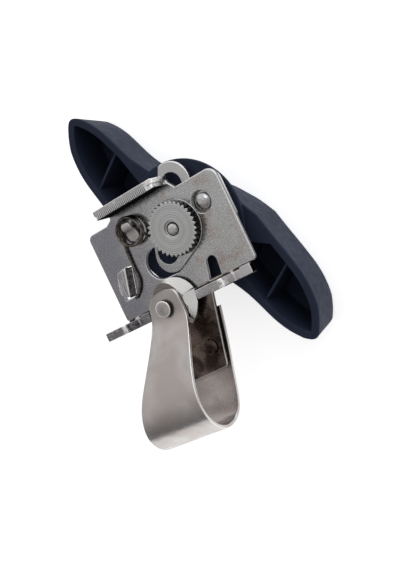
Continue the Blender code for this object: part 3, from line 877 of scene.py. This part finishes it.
def make_small_turnings(wheel, shaft, plated):
    """The shaft and its bush, and the domed rivet that the lever turns on."""
    inner = SHAFT_RADIUS + 0.1
    bush = [(inner, 1.1, 0.2), (inner, -3.5, 0.1), (BUSH_RADIUS, -3.5, 0.2), (BUSH_RADIUS, 1.1, 0.3)]
    piece("shaft_bush_turned", turned(new_mesh(), WHEEL_AXIS, bush, closed=True), wheel,
          "wheel_steel", "frame", "shaft_bush")
    dome = [(0, 1.32, 0), (0.9, 1.26, 0.4), (1.8, 0.92, 0.5), (2.35, 0.35, 0.5), (2.6, -0.2, 0.4)]
    dome += [(2.6, -1.4, 0.1), (2.3, -1.55, 0), (1.6, -1.55, 0), (1.6, -3.45, 0), (2.6, -3.45, 0.1)]
    dome += [(2.6, -4.0, 0.25), (0, -4.0, 0)]
    piece("pivot_rivet_domed", turned(new_mesh(), LEVER_PIVOT, dome), plated,
          "plated_steel", "frame", "pivot_rivet")
    end = SHAFT_RADIUS
    stub = [(0, 3.7, 0), (0.9, 3.62, 0.3), (1.5, 3.38, 0.4), (end, 2.9, 0.3), (end, -20.9, 0)]
    stub.append((0, -20.9, 0))
    piece("drive_shaft_turned", turned(new_mesh(), WHEEL_AXIS, stub), shaft,
          "wheel_steel", "key", "drive_shaft")


def make_spring_post(nickel):
    """A stem with a tongue folded over the coil."""
    bm = new_mesh()
    centre_x = SPRING_POST[0]
    stations = [
        (-1.0, 1.0, 2.75, 0.75),
        (-1.9, 1.9, 3.1, 0.8),
        (-2.15, 2.15, 4.0, 0.95),
        (-2.1, 2.1, 5.0, 1.15),
        (-1.95, 1.95, 5.9, 1.55),
        (-1.85, 1.85, 6.5, 2.1),
        (-1.85, 1.85, 7.0, 2.55),
        (-1.75, 1.75, 7.7, 2.72),
        (-1.45, 1.45, 8.5, 2.6),
        (-0.8, 0.8, 9.0, 2.35),
    ]
    shifted = [(centre_x + low, centre_x + high, y, z) for low, high, y, z in stations]
    strip(bm, smooth_through(shifted, 4), 0.8, 0.3, 8)
    turned(bm, SPRING_POST, [(0, 1.4, 0), (1.45, 1.4, 0.3), (1.45, -1.65, 0), (0, -1.65, 0)], 32)
    piece("spring_post_folded", bm, nickel, "nickel_plate", "frame", "spring_post")


def spring_route():
    """The wire's centre line: hooked leg, coil and the leg that turns down into the plate's hole."""
    start_height = 0.25 + WIRE_RADIUS
    route = [(-25.0, -13.6, start_height), (-22.7, -12.0, start_height), (-21.1, -9.8, start_height)]
    route += [(-20.6, -7.6, start_height), (-20.7, -4.3, start_height), (-20.4, 1.0, start_height)]
    route = [tuple(point) for point in smooth_through(route, 6)]
    sweep = 360 * COIL_TURNS + 170
    steps = 30 * COIL_TURNS + 14
    for i in range(steps + 1):
        angle = math.radians(180 - sweep * i / steps)
        height = start_height + COIL_PITCH * sweep / 360 * i / steps
        route.append((
            SPRING_POST[0] + COIL_RADIUS * math.cos(angle),
            SPRING_POST[1] + COIL_RADIUS * math.sin(angle),
            height,
        ))
    leg = [(-10.4, 4.0, 2.6), (-10.1, 2.5, 2.1)]
    leg += [(*SPRING_END, height) for height in (1.2, -0.4, SPRING_TIP)]
    return route + [tuple(point) for point in smooth_through(leg, 4)]


def make_spring(material):
    curve = bpy.data.curves.new("spring_wire", "CURVE")
    curve.dimensions = "3D"
    curve.bevel_depth = WIRE_RADIUS * MM
    curve.bevel_resolution = 4
    curve.use_fill_caps = True
    route = spring_route()
    spline = curve.splines.new("POLY")
    spline.points.add(len(route) - 1)
    for point, place in zip(spline.points, route):
        point.co = (*(Vector(place) * MM + ORIGIN), 1.0)
    spline.use_smooth = True
    curve.materials.append(material)
    made = bpy.data.objects.new("spring_wire", curve)
    bpy.context.collection.objects.link(made)
    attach(made, "frame")
    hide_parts("torsion_spring")


# ---------------------------------------------------------------- lever, strap and knife


def make_lever(material):
    outline = arc((3.5, 12.8), 6.8, -16, 104, 40)
    neck = [(-6.4, 18.1, 1.5), (-7.5, 8.0, 0.8), (-7.5, 1.1, 0.2)]
    ear = [(-11.2, 1.1, 0.4), (-11.2, -1.2, 0.4)]
    outline += rounded(neck + ear)
    outline += arc(WHEEL_AXIS, 4.9, 194, -72, 40)
    outline += rounded([
        (-1.4, -6.6, 0.8),
        (-1.6, -12.8, 1.0),
        (-13.0, -13.2, 3.0),
        (-20.6, -18.0, 3.0),
        (-24.0, -30.0, 2.0),
        (-25.4, -45.5, 1.0),
        (-6.6, -45.0, 1.2),
        (0.8, -19.6, 4.0),
        (2.9, -12.6, 3.0),
        (9.0, -8.6, 3.0),
        (19.4, -5.0, 1.0),
        (19.4, 10.4, 3.0),
        (10.4, 10.4, 0.4),
    ])
    holes = [circle(HANGING_HOLE, 3.6), circle(LEVER_PIVOT, 1.85, 32), circle(LEVER_RIVET, 1.8, 32)]
    piece("lever_rolled", sheet(new_mesh(), outline, holes, LEVER, 0.3), material,
          "nickel_plate", "lever_arm", "lever")


# (left x, right x, y, z) of the strap's middle look, from the knife rivet round the bend to the lever
STRAP_STATIONS = [
    (-14.6, -11.6, -15.3, 3.15),
    (-17.4, -9.6, -15.9, 3.15),
    (-18.9, -8.7, -17.0, 3.15),
    (-20.1, -8.3, -18.8, 3.15),
    (-20.9, -8.2, -21.4, 3.15),
    (-22.0, -8.0, -24.2, 3.3),
    (-22.9, -7.9, -27.2, 4.9),
    (-24.0, -7.9, -30.6, 7.2),
    (-26.8, -8.5, -37.5, 11.5),
    (-30.2, -9.0, -44.6, 15.3),
    (-31.4, -8.8, -50.4, 17.2),
    (-33.3, -9.6, -54.9, 15.3),
    (-35.2, -11.0, -58.9, 10.6),
    (-36.7, -12.3, -61.5, 4.6),
    (-36.9, -12.2, -61.6, -0.4),
    (-35.6, -10.8, -59.3, -3.5),
    (-34.0, -9.2, -55.5, -4.05),
    (-31.0, -6.6, -47.0, -4.05),
    (-27.4, -3.5, -37.8, -4.05),
    (-23.6, -0.6, -26.9, -4.05),
]


def make_strap(material):
    path = smooth_through(STRAP_STATIONS, 8)
    start = path[:SMOOTH_FROM]
    for _ in range(SMOOTH_ROUNDS):
        path = [path[0]] + [(a + 2 * b + c) / 4 for a, b, c in zip(path, path[1:], path[2:])] + [path[-1]]
    bm = strip(new_mesh(), start + path[SMOOTH_FROM:], STRAP_SHEET, 0.32, 16)
    piece("strap", bm, material, "nickel_plate", "lever_arm", "strap_handle")


def make_knife(material):
    """The knife: a sheet whose right side is ground down to a cutting edge."""
    outline = arc((-11.3, -20.6), 8.2, 200, 12, 60)
    outline += [(-4.1, -23.0), (-5.1, -24.8), (-6.4, -26.4), (-7.8, -27.6), (-9.2, -28.4), (-10.4, -26.2)]
    outline += rounded([(-13.0, -26.4, 0), (-17.0, -25.6, 0)])
    outline = anticlockwise(outline)
    back, front = KNIFE
    ground = []
    for x, y in outline:
        angle = math.degrees(math.atan2(y + 20.6, x + 11.3))
        share = min(1.0, max(0.0, (115 - angle) / 75)) if angle > -80 else 0.1
        ground.append(GROUND_WIDTH * share * share * (3 - 2 * share) * (1.0 if angle > -30 else 0.6))
    levels = [
        ([0.1] * len(outline), lambda share: back, 0.0, 0.0),
        ([0.0] * len(outline), lambda share: back + 0.12, 1.0, 0.0),
        ([0.0] * len(outline), lambda share: front - 0.12 - 0.75 * share, 1.0, 1.0),
        ([0.12 + g for g in ground], lambda share: front, 0.0, 1.0),
        ([0.3 + g for g in ground], lambda share: front, 0.0, 0.0),
    ]
    bm = new_mesh()
    loops = []
    for steps, height, edge, cut in levels:
        moved = inset(outline, steps)
        points = [(x, y, height(width / GROUND_WIDTH)) for (x, y), width in zip(moved, ground)]
        loops.append(add_loop(bm, points, edge, cut))
    skin(bm, loops)
    fill(bm, [loops[0]])
    fill(bm, [loops[-1]])
    piece("knife_ground", bm, material, "blade_steel", "lever_arm", "knife")


def make_arm_rivets(head, dark):
    """The flat rivet through the knife and the ringed rivet through the lever."""
    front = [(0, 5.1, 0), (2.75, 5.1, 0.35), (2.75, 4.0, 0), (1.5, 4.0, 0), (1.5, 0.9, 0), (2.5, 0.9, 0.1)]
    front += [(2.5, 0.3, 0.2), (0, 0.3, 0)]
    piece("knife_rivet_flat", turned(new_mesh(), KNIFE_RIVET, front), head,
          "nickel_plate", "lever_arm", "knife_rivet")
    back = [(0, -1.25, 0), (1.5, -1.25, 0.3), (1.8, -1.1, 0.2), (2.5, -1.12, 0.2), (2.5, -1.55, 0)]
    back += [(1.5, -1.55, 0), (1.5, -4.9, 0), (2.3, -4.9, 0.1), (2.3, -5.3, 0.15), (0, -5.3, 0)]
    piece("lever_rivet_ring", turned(new_mesh(), LEVER_RIVET, back), dark,
          "nickel_plate", "lever_arm", "lever_rivet")


# ---------------------------------------------------------------- wheel and key


def wheel_loop(tip, root):
    """The toothed outline at one height: each tooth has two flanks, a narrow tip and a narrow root."""
    middle = (tip + root) / 2
    corners = ((-0.06, tip), (0.06, tip), (0.30, middle), (0.44, root), (0.56, root), (0.70, middle))
    points = []
    for i in range(WHEEL_TEETH):
        for share, radius in corners:
            angle = 2 * math.pi * (i + share) / WHEEL_TEETH
            points.append((radius * math.cos(angle), radius * math.sin(angle)))
    return points


def make_feed_wheel(material):
    back, front = WHEEL
    tip, root = WHEEL_TIP_RADIUS, WHEEL_ROOT_RADIUS
    levels = [
        (tip - 0.30, root - 0.12, back, 0.0),
        (tip - 0.06, root, back + 0.22, 1.0),
        (tip, root, back + 0.35, 0.2),
        (tip, root, front - 0.2, 0.0),
        (tip - 0.04, root - 0.03, front - 0.08, 0.5),
        (tip - 0.16, root - 0.1, front - 0.02, 1.0),
        (tip - 0.30, root - 0.2, front, 0.0),
    ]
    bm = new_mesh()
    rim = [flat_loop(bm, wheel_loop(t, r), z, edge) for t, r, z, edge in levels]
    bore = [
        flat_loop(bm, circle(WHEEL_AXIS, radius), z, edge)
        for radius, z, edge in (
            (2.15, back, 0.0),
            (2.15, front - 0.75, 0.0),
            (2.62, front - 0.7, 0.0),
            (2.66, front - 0.12, 0.5),
            (2.8, front, 1.0),
            (2.95, front, 0.0),
        )
    ]
    skin(bm, rim)
    skin(bm, bore)
    fill(bm, [rim[0], bore[0]])
    fill(bm, [rim[-1], bore[-1]])
    piece("feed_wheel_toothed", bm, material, "wheel_steel", "key", "feed_wheel")


def half_turn(points):
    return [(-x, -y) for x, y in points]


def blade_edge():
    """One blade's outline from the hub, up its leading side, round the tip and back to the hub."""
    leading = [(-5.2, 22.0), (-7.6, 25.8), (-9.7, 29.9), (-13.1, 38.0), (-16.0, 42.9), (-19.2, 46.6)]
    tip = [leading[-1], (-21.4, 47.9), (-23.2, 48.0), (-24.7, 46.6), (-26.4, 43.6)]
    trailing = [tip[-1], (-28.0, 39.3), (-28.5, 34.0), (-28.1, 28.4), (-26.6, 21.6), (-24.6, 13.9)]
    trailing.append((-23.0, 7.4))
    stretches = [(leading, 6), (tip, 4), (trailing, 6)]
    leading, tip, trailing = ([tuple(p) for p in smooth_through(*stretch)] for stretch in stretches)
    return leading + tip[1:-1] + trailing


def key_outline():
    """Both blades, joined behind the hub drum by a narrower waist."""
    blade = blade_edge()
    waist = [blade[-1], (-20.0, 2.0), (-17.3, -1.8), (-12.8, -7.3), (-8.0, -10.6), (-2.6, -13.8)]
    waist += [(2.0, -17.8), half_turn(blade)[0]]
    outline = blade + [tuple(p) for p in smooth_through(waist, 6)][1:-1]
    return outline + half_turn(outline)


def pocket_outline():
    """The hollow of one blade: its outline moved in by the wall, closed by an arc round the hub."""
    edge = []
    for point in safe_inset(blade_edge(), KEY_WALL)[12:-8]:
        if point not in edge:
            edge.append(point)
    first, last = (math.degrees(math.atan2(y, x)) for x, y in (edge[0], edge[-1]))
    return anticlockwise(edge + arc(WHEEL_AXIS, HUB_RADIUS - 0.3, last - 3, first + 4, 24))


def make_wing_key(material):
    bm = new_mesh()
    outline = anticlockwise(key_outline())
    front_round, back_round, foot_round = 0.45, 0.9, 0.8
    turn = quarter_turn()
    levels = [(front_round * a, RIM_FRONT - front_round * b, edge) for a, b, edge in turn]
    depth = KEY_BACK - RIM_FRONT
    levels += [(KEY_DRAFT * share, RIM_FRONT + depth * share, 0.0) for share in (0.25, 0.5, 0.75)]
    levels += [(KEY_DRAFT + back_round * b, KEY_BACK + back_round * a, 0.5 * edge) for a, b, edge in turn]
    wall = [flat_loop(bm, safe_inset(outline, step), z, edge) for step, z, edge in levels]
    skin(bm, wall)

    floor = KEY_BACK + KEY_FLOOR
    pocket_levels = [(-0.3, RIM_FRONT, 0.0), (-0.1, RIM_FRONT - 0.1, 0.8), (0.0, RIM_FRONT - 0.35, 0.3)]
    pocket_levels += [(0.15, -10.0, 0.0), (0.35, -16.0, 0.0)]
    pocket_levels += [(0.5 + foot_round * b, floor + foot_round * a, 0.0) for a, b, _ in turn]
    rims = []
    for points in (pocket_outline(), half_turn(pocket_outline())):
        loops = [flat_loop(bm, shrink(points, step), z, edge) for step, z, edge in pocket_levels]
        skin(bm, loops)
        fill(bm, [loops[-1]])
        rims.append(loops[0])
    fill(bm, [wall[0], *rims])

    recess_levels = [(7.6, KEY_BACK, 0.0), (7.3, KEY_BACK + 0.25, 0.6), (7.2, -22.0, 0.0)]
    recess_levels.append((7.2, -18.5, 0.0))
    recess = [flat_loop(bm, circle(WHEEL_AXIS, radius), z, edge) for radius, z, edge in recess_levels]
    skin(bm, recess)
    fill(bm, [recess[-1]])
    fill(bm, [wall[-1], recess[0]])

    rim = HUB_RADIUS - 0.1
    drum = [(0, HUB_FRONT, 0), (rim, HUB_FRONT, 0.45), (rim, HUB_FRONT - 0.9, 0.2)]
    drum += [(15.0, -12.0, 0), (0, -12.0, 0)]
    turned(bm, WHEEL_AXIS, drum, 128)
    for side in (1, -1):
        add_rib(bm, side)
    piece("wing_key_moulded", bm, material, "navy_plastic", "key", "wing_key")


def add_rib(bm, side):
    """A thin web across a hollow, just below its rim: side is 1 for the upper blade, -1 for the lower."""
    start, end = Vector((-24.9, 24.0)) * side, Vector((-12.75, 31.5)) * side
    across = (end - start).normalized().orthogonal() * RIB_HALF_WIDTH
    corners = [tuple(point) for point in (start - across, end - across, end + across, start + across)]
    sheet(bm, corners, [], (KEY_BACK + 1.0, RIB_FRONT), 0.15)


def make_key_cap(material):
    cap = [(0, -21.3, 0), (6.9, -21.3, 0.3), (6.9, -22.9, 0.45), (5.0, -22.9, 0.2), (4.7, -22.75, 0.2)]
    cap.append((0, -22.75, 0))
    piece("key_cap_moulded", turned(new_mesh(), WHEEL_AXIS, cap, 96), material,
          "navy_plastic", "key", "key_cap")


# ---------------------------------------------------------------- studio


def make_floor():
    look = Surface("studio_floor", 0.8, 0.0)
    look.colour((0.9, 0.9, 0.9, 1.0))
    look.shader.inputs["Emission Color"].default_value = (1, 1, 1, 1)
    look.shader.inputs["Emission Strength"].default_value = 0.65
    mesh = bpy.data.meshes.new("floor")
    half = 3.0
    corners = [(x * half, y * half, -1e-4) for x, y in ((-1, -1), (1, -1), (1, 1), (-1, 1))]
    mesh.from_pydata(corners, [], [(0, 1, 2, 3)])
    mesh.materials.append(look.material)
    floor = bpy.data.objects.new("floor", mesh)
    bpy.context.collection.objects.link(floor)


def make_camera():
    camera = bpy.data.objects.new("camera", bpy.data.cameras.new("camera"))
    camera.data.lens = CAMERA_LENS
    camera.data.clip_start = 0.01
    camera.location = ORIGIN + Vector(CAMERA_PLACE) * MM
    camera.rotation_euler = [math.radians(angle) for angle in CAMERA_TILT]
    bpy.context.collection.objects.link(camera)
    bpy.context.scene.camera = camera


def area_light(name, direction, distance, size, power, colour=(1, 1, 1)):
    """A soft panel that faces the opener from a direction."""
    data = bpy.data.lights.new(name, "AREA")
    data.shape = "RECTANGLE"
    data.size, data.size_y = size
    data.energy = power
    data.color = colour
    light = bpy.data.objects.new(name, data)
    light.location = ORIGIN + Vector(direction).normalized() * distance
    light.rotation_euler = Vector(direction).to_track_quat("Z", "Y").to_euler()
    bpy.context.collection.objects.link(light)


def make_world():
    """A soft tent of light: brightest above the top of the plate, darkest below its bottom edge."""
    world = bpy.data.worlds.new("studio")
    world.use_nodes = True
    tree = world.node_tree
    background = tree.nodes["Background"]
    coordinates = tree.nodes.new("ShaderNodeTexCoord")
    lean = tree.nodes.new("ShaderNodeVectorMath")
    lean.operation = "DOT_PRODUCT"
    lean.inputs[1].default_value = (0.10, 0.75, 0.30)
    ramp = tree.nodes.new("ShaderNodeValToRGB")
    reach = tree.nodes.new("ShaderNodeMapRange")
    reach.inputs["From Min"].default_value = -1.0
    tree.links.new(coordinates.outputs["Generated"], lean.inputs[0])
    tree.links.new(lean.outputs["Value"], reach.inputs["Value"])
    tree.links.new(reach.outputs["Result"], ramp.inputs["Fac"])
    tree.links.new(ramp.outputs["Color"], background.inputs["Color"])
    stops = ramp.color_ramp.elements
    stops[0].position, stops[0].color = 0.15, (0.17, 0.17, 0.175, 1)
    stops[1].position, stops[1].color = 0.90, (0.95, 0.95, 0.96, 1)
    middle = stops.new(0.60)
    middle.color = (0.47, 0.46, 0.46, 1)
    background.inputs["Strength"].default_value = 1.0
    bpy.context.scene.world = world


def main():
    make_camera()
    make_world()
    make_floor()
    area_light("right_panel", (1.0, 0.75, 0.40), 1.3, (0.9, 0.7), 2.2, (0.78, 0.88, 1.0))

    plated = plated_steel()
    flange = flange_steel()
    tab = tab_steel()
    nickel = nickel_plate()
    dark_lever = lever_steel()
    blade = blade_steel()
    wheel = wheel_steel()
    shaft = shaft_steel()
    wire = spring_steel()
    plastic = navy_plastic()

    make_plate(plated)
    make_flanges(flange)
    make_anchor_tab(tab)
    make_bearing_plate(plated)
    make_small_turnings(wheel, shaft, plated)
    make_spring_post(nickel)
    make_spring(wire)
    make_lever(dark_lever)
    make_strap(nickel)
    make_knife(blade)
    make_arm_rivets(rivet_steel(), dark_lever)
    make_feed_wheel(wheel)
    make_wing_key(plastic)
    make_key_cap(plastic)
    for name, material in (("thrust_washer", nickel), ("spring_washer", wire), ("key_nut", wheel)):
        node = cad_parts[name]
        for slot in node.material_slots:
            slot.material = material

    scene = bpy.context.scene
    scene.view_settings.view_transform = "Standard"


main()
